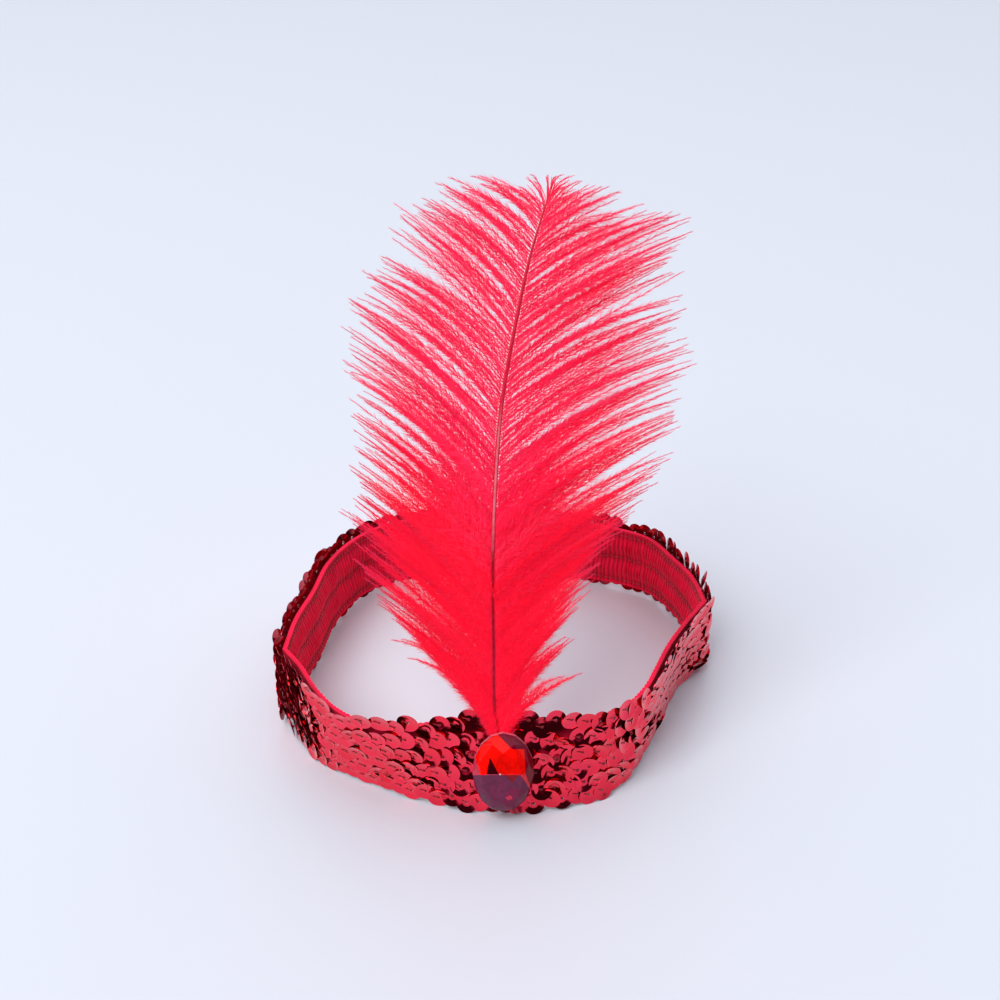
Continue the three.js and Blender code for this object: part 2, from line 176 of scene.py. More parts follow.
def smooth_run(corners, steps):
    """A centripetal Catmull-Rom line through the corners, with so many steps to a span."""
    corners = np.asarray(corners, float)
    padded = np.vstack([2 * corners[0] - corners[1], corners, 2 * corners[-1] - corners[-2]])
    gaps = np.sqrt(np.linalg.norm(np.diff(padded, axis=0), axis=1))
    share = np.linspace(0, 1, steps, endpoint=False)[:, None]
    pieces = []
    for span in range(len(corners) - 1):
        before, start, end, after = padded[span:span + 4]
        first, second, third = gaps[span:span + 3]
        leaving = second * ((start - before) / first - (end - before) / (first + second)
                            + (end - start) / second)
        arriving = second * ((end - start) / second - (after - start) / (second + third)
                             + (after - end) / third)
        cubic = 2 * (start - end) + leaving + arriving
        square = 3 * (end - start) - 2 * leaving - arriving
        pieces.append(((cubic * share + square) * share + leaving) * share + start)
    return np.vstack([*pieces, corners[-1:]])


def unit(vectors):
    return vectors / np.maximum(np.linalg.norm(vectors, axis=-1, keepdims=True), 1e-9)


loop_rows = np.array(LOOP_ROWS)
edge_low = np.column_stack([loop_rows[:, 0] * LOOP_WIDTH / 2, loop_rows[:, 1] * LOOP_DEPTH,
                            np.zeros(len(loop_rows))])
edge_high = edge_low + FIELD_HEIGHT * np.column_stack([loop_rows[:, 2:], np.ones(len(loop_rows))])


def whole_loop(edge):
    """Both stretches between the creases, as one closed run of points that ends where it starts."""
    front = smooth_run(edge[:RIGHT_CREASE + 1], SPAN_STEPS)
    rear = smooth_run(np.vstack([edge[RIGHT_CREASE:], edge[:1]]), SPAN_STEPS)
    return np.vstack([front, rear[1:]])


low_run = whole_loop(edge_low)
high_run = whole_loop(edge_high)
run_marks = np.concatenate([[0], np.cumsum(np.linalg.norm(np.diff(low_run, axis=0), axis=1))])
LOOP_LENGTH = run_marks[-1]
middle_run = (low_run + high_run) / 2


def along_at(run):
    """The loop's heading in plan, averaged over the crease's rounding."""
    total = 0
    for offset in np.linspace(-CREASE_ROUNDING, CREASE_ROUNDING, 7):
        ahead = [np.interp((run + offset + 0.3) % LOOP_LENGTH, run_marks, middle_run[:, axis])
                 for axis in (0, 1)]
        behind = [np.interp((run + offset - 0.3) % LOOP_LENGTH, run_marks, middle_run[:, axis])
                  for axis in (0, 1)]
        total = total + unit(np.stack([ahead[0] - behind[0], ahead[1] - behind[1]], axis=-1))
    return unit(total)


def wall_point(run, height, out):
    """The place on the band's wall at a run along its lower edge, a height and a distance outward."""
    run, height, out = np.broadcast_arrays(np.asarray(run, float), height, out)
    wrapped = run % LOOP_LENGTH
    low = np.stack([np.interp(wrapped, run_marks, low_run[:, axis]) for axis in range(3)], axis=-1)
    high = np.stack([np.interp(wrapped, run_marks, high_run[:, axis]) for axis in range(3)], axis=-1)
    along = along_at(run)
    outward = np.stack([along[..., 1], -along[..., 0], np.zeros(run.shape)], axis=-1)
    return low + (high - low) * (height / FIELD_HEIGHT)[..., None] + outward * out[..., None]


def make_piece(name, points, faces, material, sharp_angle=None):
    """A smooth-shaded mesh object from points in millimetres, riding with the headband."""
    mesh = bpy.data.meshes.new(name)
    mesh.from_pydata(((points + LOOP_SHIFT) * MM).tolist(), [], faces)
    mesh.polygons.foreach_set("use_smooth", np.ones(len(mesh.polygons), bool))
    if sharp_angle is not None:
        mesh.set_sharp_from_angle(angle=math.radians(sharp_angle))
    mesh.materials.append(material)
    made = bpy.data.objects.new(name, mesh)
    bpy.context.scene.collection.objects.link(made)
    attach(made, "root")
    return made


def mark_points(piece, name, values):
    """Writes one number to each of a mesh's points, for its material to read."""
    marks = piece.data.attributes.new(name, "FLOAT", "POINT")
    marks.data.foreach_set("value", np.asarray(values, np.float32).ravel())


def wander(run, waves, seed):
    """A smooth value between -1 and 1 that wanders along the loop and joins up with itself."""
    starts = np.random.default_rng(seed).uniform(0, 2 * np.pi, len(waves))
    return sum(np.sin(2 * np.pi * wave * run / LOOP_LENGTH + start)
               for wave, start in zip(waves, starts)) / len(waves)


RIBBON_COLUMNS = 1500
RIBBON_INSIDE_ROWS = 23
fold_draw = np.random.default_rng(11)
fold_edges = np.cumsum(fold_draw.uniform(*FOLD_WIDTH, 400))
fold_edges = fold_edges[:np.searchsorted(fold_edges, LOOP_LENGTH)]
fold_edges = np.concatenate([[0], fold_edges * LOOP_LENGTH / fold_edges[-1]])


def fold_fullness(run, up):
    """How far an upright fold stands at a place on the ribbon, from 0 in a valley to 1 on a ridge."""
    shifted = (run + 0.5 * np.sin(5 * up + 3 * wander(run, (9, 14), 4)) * (up - 0.5)) % LOOP_LENGTH
    turn = np.interp(shifted, fold_edges, np.arange(len(fold_edges)))
    return np.abs(np.sin(np.pi * turn)) ** 0.8


def seam_shift(run, up):
    """How far up or down a seam wanders, as a share of the ribbon's height."""
    return SEAM_WANDER * wander(run, (29, 41, 67), 8) * 4 * up * (1 - up)


ribbon_run = np.linspace(0, LOOP_LENGTH, RIBBON_COLUMNS, endpoint=False)[:, None]
inside_up = np.linspace(0, 1, RIBBON_INSIDE_ROWS)[None, :]
puff_ups, puff_signs = np.array(RIBBON_ROWS).T
puff_line = np.interp(inside_up - seam_shift(ribbon_run, inside_up), puff_ups, puff_signs)
puff_share = np.clip(puff_line, 0, 1) ** 0.6
valley_share = np.clip(-puff_line, 0, 1)
fullness = fold_fullness(ribbon_run, inside_up)
unevenness = 1 + 0.35 * wander(ribbon_run, (23, 37, 58), 5)
inside_relief = (PUFF_DEPTH * puff_share * (0.45 + 0.35 * unevenness * fullness)
                 + FOLD_DEPTH * unevenness * fullness * (0.35 + 0.65 * puff_share)
                 - STITCH_DEPTH * valley_share)
edge_wave = 0.28 * (fullness - 0.5) * np.where((inside_up == 0) | (inside_up == 1), 1, 0)
inside_height = RIBBON_LIFT + RIBBON_HEIGHT * inside_up + edge_wave * np.where(inside_up > 0.5, 1, -1)
inside_face = wall_point(ribbon_run, inside_height, -RIBBON_WALL / 2 - inside_relief)
outside_up = np.linspace(1, 0, RIBBON_OUTSIDE_ROWS)[None, :]
outside_relief = 0.12 * fold_fullness(ribbon_run + 0.4, outside_up)
outside_height = RIBBON_LIFT + RIBBON_HEIGHT * outside_up
outside_face = wall_point(ribbon_run, outside_height, RIBBON_WALL / 2 - outside_relief)
ribbon_points = np.concatenate([inside_face, outside_face], axis=1)
ribbon_rows = ribbon_points.shape[1]
index = np.arange(RIBBON_COLUMNS * ribbon_rows).reshape(RIBBON_COLUMNS, ribbon_rows)
next_column = np.roll(index, -1, axis=0)
ribbon_faces = np.stack([index, np.roll(index, -1, axis=1), np.roll(next_column, -1, axis=1),
                         next_column], axis=-1).reshape(-1, 4)


def spread(owner, value, low, high, bottom=0.0, top=1.0):
    """The socket of a value whose range from low to high becomes bottom to top."""
    ranged = add_node(owner, "ShaderNodeMapRange", {
        "Value": value, "From Min": low, "From Max": high, "To Min": bottom, "To Max": top})
    return ranged.outputs["Result"]


def painted(owner, mark):
    """The socket of the numbers written to a mesh under this name."""
    return add_node(owner, "ShaderNodeAttribute", attribute_name=mark).outputs["Fac"]


def fine_grain(material, shader, scale, detail, strength, distance):
    """Gives a material fine bumps from a noise, and returns the place that the noise is read at."""
    place = add_node(material, "ShaderNodeTexCoord").outputs["Object"]
    noise = add_node(material, "ShaderNodeTexNoise", {"Vector": place, "Scale": scale, "Detail": detail})
    bump = add_node(material, "ShaderNodeBump",
                    {"Height": noise.outputs["Fac"], "Strength": strength, "Distance": distance})
    feed(material, bump.outputs["Normal"], shader, "Normal")
    return place


ribbon_material, ribbon_shader = new_material(
    "gathered_elastic", RIBBON_COLOUR, 0.78,
    {"Sheen Weight": 0.12, "Sheen Roughness": 0.4, "Specular IOR Level": 0.2})
ribbon_shader.inputs["Sheen Tint"].default_value = (1.0, 0.35, 0.45, 1)
place = fine_grain(ribbon_material, ribbon_shader, 2600.0, 2.0, 0.35, 0.0002)
blotch = add_node(ribbon_material, "ShaderNodeTexNoise", {"Vector": place, "Scale": 90.0, "Detail": 4.0})
# The ribbon darkens towards its shade colour where the fold mark is low. This is painted shade in the folds'
# valleys, mixed with blotches of random tone.
fold_shade_tone = add_node(ribbon_material, "ShaderNodeMath",
                     {0: painted(ribbon_material, "fold"), 1: blotch.outputs["Fac"]}, operation="ADD")
fold_shade_tone = spread(ribbon_material, fold_shade_tone.outputs[0], 0.55, 1.4)
ribbon_tint = blend(ribbon_material, fold_shade_tone, (*RIBBON_SHADE, 1), (*RIBBON_COLOUR, 1))
feed(ribbon_material, ribbon_tint, ribbon_shader, "Base Color")

ribbon = make_piece("gathered_ribbon", ribbon_points.reshape(-1, 3), ribbon_faces.tolist(),
                    ribbon_material, 60)
# Painted shade: darker in the valleys between the folds and in the stitched valleys, with a painted highlight
# along the top and bottom edges. The outside face gets an even middle tone.
inside_painted_shade = np.maximum(0.15 + 0.85 * fullness - 0.45 * valley_share, 0.9 * (np.abs(inside_up - 0.5) > 0.47))
mark_points(ribbon, "fold", np.concatenate([inside_painted_shade, np.full(outside_face.shape[:2], 0.4)], axis=1))
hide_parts("stretch_band")

# The seams: three rows of dark red lock stitches run along the ribbon's inner face, in the valleys
# that they pull down. The thread is polyester, about 0.3 mm thick.
SEAM_UPS = (0.09, 0.5, 0.91)
STITCH_PITCH = 1.9
STITCH_LENGTH = 1.45
SEAM_THREAD = 0.34
SEAM_COLOUR = (0.40, 0.002, 0.026)
STITCH_BED = 0.10
STITCH_RISE = 0.22
STITCH_DIP = 0.28


def tubes(lines, radii, sides, facing):
    """Points and faces of closed tubes along many lines at once; facing keeps them from twisting."""
    count, steps = lines.shape[:2]
    along = unit(np.gradient(lines, axis=1))
    across = unit(np.cross(along, facing))
    above = np.cross(along, across)
    turn = 2 * np.pi * np.arange(sides) / sides
    ring = (across[:, :, None] * np.cos(turn)[:, None] + above[:, :, None] * np.sin(turn)[:, None])
    points = (lines[:, :, None] + ring * radii[:, :, None, None]).reshape(-1, 3)
    corner = np.arange(count * steps * sides).reshape(count, steps, sides)
    after = np.roll(corner, -1, axis=2)
    walls = np.stack([corner[:, :-1], after[:, :-1], after[:, 1:], corner[:, 1:]], axis=-1)
    ends = np.concatenate([corner[:, 0, ::-1], corner[:, -1]])
    return points, walls.reshape(-1, 4).tolist() + ends.tolist()


seam_material, seam_shader = new_material("seam_thread", SEAM_COLOUR, 0.6, {"Sheen Weight": 0.3})
fine_grain(seam_material, seam_shader, 3500.0, 1.0, 0.4, 0.0001)

stitch_count = round(LOOP_LENGTH / STITCH_PITCH)
stitch_share = np.linspace(-0.5, 0.5, 5)
stitch_lines = []
for seam_up in SEAM_UPS:
    seam_draw = np.random.default_rng(int(seam_up * 100))
    centre = np.arange(stitch_count) * LOOP_LENGTH / stitch_count
    length = STITCH_LENGTH * seam_draw.uniform(0.85, 1.15, stitch_count)
    run = centre[:, None] + length[:, None] * stitch_share
    slant = seam_draw.uniform(-0.25, 0.25, stitch_count)
    up = seam_up + seam_shift(centre, seam_up)
    height = RIBBON_LIFT + RIBBON_HEIGHT * up[:, None] + slant[:, None] * stitch_share
    sunk = STITCH_DIP * (2 * stitch_share) ** 4
    stitch_lines.append(wall_point(run, height, -RIBBON_WALL / 2 + STITCH_BED + sunk - STITCH_RISE))
stitch_lines = np.concatenate(stitch_lines)
stitch_radii = np.broadcast_to(SEAM_THREAD / 2 * np.array([0.7, 1, 1, 1, 0.7]), stitch_lines.shape[:2])
seam_points, seam_faces = tubes(stitch_lines, stitch_radii, 5, np.array([0, 0, 1.0]))
seams = make_piece("seam_stitches", seam_points, seam_faces, seam_material)

# The sequins: flat-cup discs of red mirror film, 6.5 mm across, with a hole in the middle. They are
# sewn to the ribbon in six rows that overlap like scales: each disc's right edge lies on the next
# one, and each row's top lies on the row above. Past the front's right corner they lie calmer, and
# along its left half they turn the other way and fan open. Places aside are mm right of the stone.
SEQUIN_DIAMETER = 6.5
SEQUIN_HOLE = 0.95
SEQUIN_FLAT = 2.7
SEQUIN_CUP = 0.36
SEQUIN_FILM = 0.12
SEQUIN_SIDES = 20
SEQUIN_ROWS = 6
SEQUIN_PITCH = 4.05
SEQUIN_OUT = 1.75
SEQUIN_COLOUR = (0.93, 0.018, 0.075)
SHINGLE_TURN = 12.5
SHINGLE_TIP = 9.5
RUN_SPREAD = 0.3
HEIGHT_SPREAD = 0.5
TURN_SPREAD = 4.5
TIP_SPREAD = 5.0
SEQUIN_BACK_COLOUR = (0.34, 0.004, 0.022)
FILM_RED = (0.92, 0.006, 0.038, 1)
FILM_PINK = (1.0, 0.017, 0.068, 1)
CALM_START = 40
CALM_END = 130
FANNED_START = -15
FANNED_END = -74
FANNED_EASE = 30
CORNER_EASE = 20
STONE_SHIFT = 1.0
# Under the stone the discs are pressed flat, and round it they are crowded upward
PRESSED_REACH = 5.5
PRESSED_OUT = 1.35
PRESSED_TURN = 6
PRESSED_TIP = 2
CROWDED_REACH = 42
CROWDED_RISE = 0.7
CROWDED_LIFTS = (0.1, 1.3)
# Beside the stone many discs are pushed back: where, and what share of the lower and the upper rows
RIGHT_DARK = (3, 44, 0.60, 0.82)
LEFT_DARK = (-24, -3, 0.20, 0.30)
PUSHED_BACK = (13, 24)
RIGHT_DARK_TURN = 16
TIP_LIMIT = -8
RIGHT_DARK_TIP_LIMIT = -13
LOOSE_SHARE = 0.05
LOOSE_TIPS = (-14, 22)
LOOSE_TURNS = (-16, 16)
TIP_CLEARANCE = 2.2
# How far the discs of the lowest and the highest row pass the row's line, outward
PASSING_SHARE = 0.3
PASSING_LIFTS = (0.4, 1.1)
EDGE_LIFTS = (-1.2, -0.3)
HANGING_LIFTS = (-0.3, 0.8)
HANGING_TIPS = (26, 48)
RAISED_OUT = 0.5
# Discs of the top row that stand up from it: how far to the right of the stone's middle, how much
# higher, and how many degrees the top edge tips forward.
RAISED_SEQUINS = [(-38.5, 3.1, 5), (-31.2, 3.2, 6), (-24.6, 3.4, 4), (-8.7, 2.3, -8),
                  (7.9, 2.0, -7), (14.0, 2.5, -8), (20.5, 2.4, 14)]

sequin_material, sequin_shader = new_material(
    "mirror_film", SEQUIN_COLOUR, 0.16,
    {"Metallic": 1.0, "Coat Weight": 0.7, "Coat Roughness": 0.06})
film_tint = blend(sequin_material, painted(sequin_material, "dye"), FILM_RED, FILM_PINK)
film_side = blend(sequin_material, painted(sequin_material, "back_side"), film_tint,
                  (*SEQUIN_BACK_COLOUR, 1))
feed(sequin_material, film_side, sequin_shader, "Base Color")
place = fine_grain(sequin_material, sequin_shader, 260.0, 2.0, 0.10, 0.0006)
scuffs = add_node(sequin_material, "ShaderNodeTexNoise", {"Vector": place, "Scale": 900.0, "Detail": 3.0})
scuff_range = spread(sequin_material, scuffs.outputs["Fac"], 0.0, 1.0, 0.07, 0.19)
feed(sequin_material, scuff_range, sequin_shader, "Roughness")


def disc_shape():
    """One sequin's points and faces: a thin dished disc with a hole, its hollow side to +z."""
    radii = [SEQUIN_HOLE / 2, SEQUIN_FLAT / 2, SEQUIN_DIAMETER / 2]
    lifts = [0, 0, SEQUIN_CUP]
    turn = 2 * np.pi * np.arange(SEQUIN_SIDES) / SEQUIN_SIDES
    section = [(r, z + SEQUIN_FILM / 2) for r, z in zip(radii, lifts)]
    section += [(r, z - SEQUIN_FILM / 2) for r, z in zip(radii[::-1], lifts[::-1])]
    points = np.array([[(r * math.cos(a), r * math.sin(a), z) for r, z in section] for a in turn])
    corner = np.arange(points.shape[0] * points.shape[1]).reshape(points.shape[:2])
    across = np.roll(corner, -1, axis=1)
    onward = np.roll(corner, -1, axis=0)
    faces = np.stack([corner, across, np.roll(onward, -1, axis=1), onward], axis=-1).reshape(-1, 4)
    return points.reshape(-1, 3), faces


disc_points, disc_faces = disc_shape()
front_points = RIGHT_CREASE * SPAN_STEPS
front_run = np.interp(STONE_SHIFT, low_run[:front_points, 0], run_marks[:front_points])
row_step = (FIELD_HEIGHT - SEQUIN_DIAMETER) / (SEQUIN_ROWS - 1)
per_row = round(LOOP_LENGTH / SEQUIN_PITCH)
thread_lines = []
for row in range(SEQUIN_ROWS):
    draw = np.random.default_rng(100 + row)
    run = (np.arange(per_row) + 0.5 * (row % 2)) * LOOP_LENGTH / per_row
    run = run + draw.normal(0, RUN_SPREAD, per_row)
    height = SEQUIN_DIAMETER / 2 + row * row_step + draw.normal(0, HEIGHT_SPREAD, per_row)
    aside = run - front_run
    pressed = np.abs(aside) < PRESSED_REACH
    calm = np.clip((aside - CALM_START) / CORNER_EASE, 0, 1)
    calm = calm * np.clip((CALM_END - aside) / CORNER_EASE, 0, 1)
    fanned = np.clip((FANNED_START - aside) / FANNED_EASE, 0, 1)
    fanned = fanned * np.clip((aside - FANNED_END) / CORNER_EASE, 0, 1)
    turn = SHINGLE_TURN * (1 - 0.6 * calm - 1.75 * fanned)
    steady = 1 - 0.8 * calm - 0.5 * fanned
    turn = np.radians(turn + draw.normal(0, TURN_SPREAD, per_row) * steady)
    tip = SHINGLE_TIP * (1 - 0.7 * calm - 1.2 * fanned)
    tip = np.radians(tip + draw.normal(0, TIP_SPREAD, per_row) * steady)
    # Discs that are pushed back mirror the dark side of the room
    start, end, lower, upper = RIGHT_DARK
    right_dark = (aside > start) & (aside < end) & (draw.random(per_row) < (upper if row >= 3 else lower))
    start, end, lower, upper = LEFT_DARK
    left_dark = (aside > start) & (aside < end) & (draw.random(per_row) < (upper if row >= 1 else lower))
    tip = tip - np.radians(np.where(right_dark | left_dark, draw.uniform(*PUSHED_BACK, per_row), 0))
    loose = draw.random(per_row) < LOOSE_SHARE
    tip = tip + np.radians(np.where(loose, draw.uniform(*LOOSE_TIPS, per_row), 0))
    turn = turn + np.radians(np.where(loose, draw.uniform(*LOOSE_TURNS, per_row), 0))
    turn = turn - np.radians(np.where(right_dark, RIGHT_DARK_TURN, 0))
    tip = np.maximum(tip, np.radians(np.where(right_dark, RIGHT_DARK_TIP_LIMIT, TIP_LIMIT)))
    turn = np.where(pressed, np.radians(PRESSED_TURN), turn)
    tip = np.where(pressed, np.radians(PRESSED_TIP), tip)
    out = SEQUIN_OUT + 0.25 * draw.random(per_row) + TIP_CLEARANCE * np.abs(np.sin(tip)) * (~pressed)
    out = np.where(pressed, PRESSED_OUT, out)
    if row == SEQUIN_ROWS - 2:
        height = height + np.where(np.abs(aside) < CROWDED_REACH, CROWDED_RISE, 0)
    if row in (0, SEQUIN_ROWS - 1):
        outer = 1 if row else -1
        lift = np.where(draw.random(per_row) < PASSING_SHARE, draw.uniform(*PASSING_LIFTS, per_row),
                        draw.uniform(*EDGE_LIFTS, per_row))
        crowded = (np.abs(aside) < CROWDED_REACH) & (row > 0)
        lift = np.where(crowded, draw.uniform(*CROWDED_LIFTS, per_row), lift)
        # Behind, the lowest discs hang below the ribbon and swing in under its edge
        behind = (wall_point(run, height, out)[:, 1] > LOOP_DEPTH * 0.5) & (row == 0)
        lift = np.where(behind, draw.uniform(*HANGING_LIFTS, per_row), lift)
        tip = np.where(behind, np.radians(draw.uniform(*HANGING_TIPS, per_row)), tip)
        out = np.where(behind, SEQUIN_OUT, out)
        height = height + outer * np.where(pressed, 0, lift)
    if row == SEQUIN_ROWS - 1:
        for right, lift, lean in RAISED_SEQUINS:
            raised = np.argmin(np.abs(aside - right))
            height[raised] = FIELD_HEIGHT - SEQUIN_DIAMETER / 2 + lift
            tip[raised] = math.radians(lean)
            out[raised] = SEQUIN_OUT + RAISED_OUT
    centre = wall_point(run, height, out)
    along = unit(np.column_stack([along_at(run), np.zeros(per_row)]))
    rise = unit(wall_point(run, height + 1, out) - wall_point(run, height - 1, out))
    along = unit(along - rise * np.sum(along * rise, axis=1, keepdims=True))
    outward = np.cross(along, rise)
    cos_turn, sin_turn = np.cos(turn)[:, None], np.sin(turn)[:, None]
    cos_tip, sin_tip = np.cos(tip)[:, None], np.sin(tip)[:, None]
    disc_right = along * cos_turn + outward * sin_turn
    facing = outward * cos_turn - along * sin_turn
    disc_up = rise * cos_tip + facing * sin_tip
    facing = facing * cos_tip - rise * sin_tip
    points = (centre[:, None] + disc_right[:, None] * disc_points[None, :, :1]
              + disc_up[:, None] * disc_points[None, :, 1:2] + facing[:, None] * disc_points[None, :, 2:])
    sunk = np.minimum(points[:, :, 2].min(axis=1) - 0.05, 0)
    points[:, :, 2] -= sunk[:, None]
    faces = disc_faces[None] + (np.arange(per_row) * len(disc_points))[:, None, None]
    sequins = make_piece(f"sequins_row_{row + 1}", points.reshape(-1, 3), faces.reshape(-1, 4).tolist(),
                         sequin_material, 8)
    mark_points(sequins, "dye", np.repeat(draw.random(per_row), len(disc_points)))
    mark_points(sequins, "back_side", np.tile([0, 0, 0, 1, 1, 1], per_row * SEQUIN_SIDES))
    hole = centre - np.stack([0 * sunk, 0 * sunk, sunk], axis=-1)
    hop = np.array([0, 0, 0.33, 0.67, 1])[None, :, None]
    depth = np.array([-0.34, -0.12, 0.2, 0.22, 0.14])[None, :, None]
    reach = -disc_right * 2.0 + disc_up * 0.6
    thread_lines.append(hole[:, None] + reach[:, None] * hop + facing[:, None] * depth)
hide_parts("sequin_layer")

# The sequins' thread: a fine dark red thread comes up from a knot behind each hole and dives under
# the disc that lies over it.
SEQUIN_THREAD = (0.95, 0.95, 0.24, 0.24, 0.18)
SEQUIN_THREAD_COLOUR = (0.30, 0.005, 0.02)
sewing_material, sewing_shader = new_material(
    "sewing_thread", SEQUIN_THREAD_COLOUR, 0.5, {"Sheen Weight": 0.3})
fine_grain(sewing_material, sewing_shader, 4000.0, 1.0, 0.4, 0.0001)
thread_lines = np.concatenate(thread_lines)
thread_radii = np.broadcast_to(np.array(SEQUIN_THREAD) / 2, thread_lines.shape[:2])
thread_points, thread_faces = tubes(thread_lines, thread_radii, 4, np.array([0, 0, 1.0]))
make_piece("sequin_thread", thread_points, thread_faces, sewing_material)

# The quill: the ostrich feather's shaft, glued to the front of the band under the stone. Its cut,
# hollow end shows just below the stone, and it thins and sways to the right towards its tip.
FEATHER_HEIGHT = 177.0
SHAFT_SWAY = 15.0
FEATHER_BOW = 6.0
QUILL_DIAMETER = 2.4
SHAFT_TIP_DIAMETER = 0.9
VANE_CUP = 6.0
FRONT_LEAN = math.atan(0.258)
SEAT_GAP = 0.3
SEQUIN_BACKING = 0.9
PRESSED_FACE = RIBBON_WALL / 2 + SEAT_GAP + SEQUIN_BACKING
QUILL_OUT = PRESSED_FACE + (SEAT_GAP + QUILL_DIAMETER / 2) / math.cos(FRONT_LEAN)
# The shaft's front carries a dark painted groove shade and a pale painted highlight.
QUILL_PALE_HIGHLIGHT = (0.95, 0.22, 0.30)
QUILL_GROOVE_SHADE = (0.42, 0.002, 0.026)
QUILL_RED = (0.90, 0.012, 0.05)
QUILL_UPPER = (0.78, 0.014, 0.07)
# Where the shaft's front turns from painted groove shade to a pale painted highlight and then red again, as
# shares of the feather's height
QUILL_HIGHLIGHT_FROM = (0.43, 0.50)
QUILL_UPPER_FROM = (0.62, 0.68)
SHAFT_ROWS = [  # up, right: shares of the feather's height and of its sway
    (0.009, 0.29), (0.146, -0.06), (0.3, -0.12), (0.43, -0.135), (0.545, -0.09),
    (0.67, 0.03), (0.785, 0.27), (0.89, 0.55), (0.98, 0.9), (1, 0.99),
]
shaft_trace = smooth_run([(right * SHAFT_SWAY, up * FEATHER_HEIGHT) for up, right in SHAFT_ROWS], 24)


def shaft_right(height):
    return np.interp(height, shaft_trace[:, 1], shaft_trace[:, 0])


def shaft_radius(height):
    taper = np.clip((height - FIELD_HEIGHT) / (FEATHER_HEIGHT - FIELD_HEIGHT), 0, 1)
    return (QUILL_DIAMETER + (SHAFT_TIP_DIAMETER - QUILL_DIAMETER) * np.sqrt(taper)) / 2


def sheet_depth(height):
    above = np.maximum(height - FIELD_HEIGHT, 0) / (FEATHER_HEIGHT - FIELD_HEIGHT)
    return math.tan(FRONT_LEAN) * height - QUILL_OUT + FEATHER_BOW * above ** 2


def sheet_point(right, height, reach, forward):
    """A place on the feather's sheet, which leans and bows backward and cups away from the shaft."""
    cup = VANE_CUP * ((right - shaft_right(height)) / reach) ** 2
    return np.stack(np.broadcast_arrays(right, sheet_depth(height) + cup - forward, height), axis=-1)


shaft_line = np.column_stack([shaft_trace[:, 0], sheet_depth(shaft_trace[:, 1]), shaft_trace[:, 1]])
shaft_radii = shaft_radius(shaft_trace[:, 1])
shaft_radii *= np.interp(shaft_trace[:, 1], [150, 172, FEATHER_HEIGHT], [1, 0.5, 0.12])
HOLLOW_DEPTH = 6
HOLLOW_RADII = [0.05, 0.72, 0.78, 0.8]
hollow = np.linspace(HOLLOW_DEPTH, 0, len(HOLLOW_RADII))
hollow_line = shaft_line[:1] + (shaft_line[1:2] - shaft_line[:1]) * (hollow[:, None] / np.linalg.norm(
    shaft_line[1] - shaft_line[0]))
quill_line = np.vstack([hollow_line, shaft_line])
quill_radii = np.concatenate([HOLLOW_RADII, shaft_radii])
QUILL_SIDES = 16
shaft_along = unit(np.gradient(quill_line, axis=0))
shaft_along[:4] = shaft_along[6]
quill_across = unit(np.cross(shaft_along, [0, -1.0, 0]))
quill_above = np.cross(shaft_along, quill_across)
quill_turn = 2 * np.pi * np.arange(QUILL_SIDES) / QUILL_SIDES
QUILL_FRONT = np.angle(np.mean(quill_across[:, 1]) * -1 + np.mean(quill_above[:, 1]) * -1j)
groove = 1 - 0.10 * np.clip(np.cos(quill_turn - QUILL_FRONT), 0, 1) ** 8
quill_points = (quill_line[:, None] + quill_radii[:, None, None] * groove[:, None] * (
    quill_across[:, None] * np.cos(quill_turn)[:, None] + quill_above[:, None] * np.sin(quill_turn)[:, None]))
corner = np.arange(quill_points.shape[0] * QUILL_SIDES).reshape(-1, QUILL_SIDES)
after = np.roll(corner, -1, axis=1)
quill_faces = np.stack([corner[:-1], after[:-1], after[1:], corner[1:]], axis=-1).reshape(-1, 4).tolist()
quill_faces += [corner[0, ::-1].tolist(), corner[-1].tolist()]

quill_material, quill_shader = new_material("dyed_quill", QUILL_PALE_HIGHLIGHT, 0.38, {"Specular IOR Level": 0.5})
up_mark = painted(quill_material, "up")
place = add_node(quill_material, "ShaderNodeTexCoord").outputs["Object"]
streaks = add_node(quill_material, "ShaderNodeTexNoise", {"Vector": place, "Scale": 700.0, "Detail": 3.0})
pale_share = spread(quill_material, up_mark, *QUILL_HIGHLIGHT_FROM)
quill_tint = blend(quill_material, pale_share, (*QUILL_GROOVE_SHADE, 1), (*QUILL_PALE_HIGHLIGHT, 1))
upper_share = spread(quill_material, up_mark, *QUILL_UPPER_FROM)
quill_tint = blend(quill_material, upper_share, quill_tint, (*QUILL_UPPER, 1))
# Down the shaft's front runs a painted line: painted groove shade low down, a pale painted highlight higher
# up, then red. The shaft's sides stay red.
painted_line_share = spread(quill_material, painted(quill_material, "ridge"), 0.35, 0.75)
quill_painted_line = blend(quill_material, painted_line_share, (*QUILL_RED, 1), quill_tint)
quill_streak = blend(quill_material, 1.0, quill_painted_line, streaks.outputs["Fac"], "SOFT_LIGHT")
feed(quill_material, quill_streak, quill_shader, "Base Color")
quill = make_piece("feather_quill", quill_points.reshape(-1, 3), quill_faces, quill_material, 50)
mark_points(quill, "up", np.repeat(quill_line[:, 2] / FEATHER_HEIGHT, QUILL_SIDES))
mark_points(quill, "ridge", np.tile(np.clip(np.cos(quill_turn - QUILL_FRONT), 0, 1) ** 6, len(quill_line)))
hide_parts("feather_shaft")

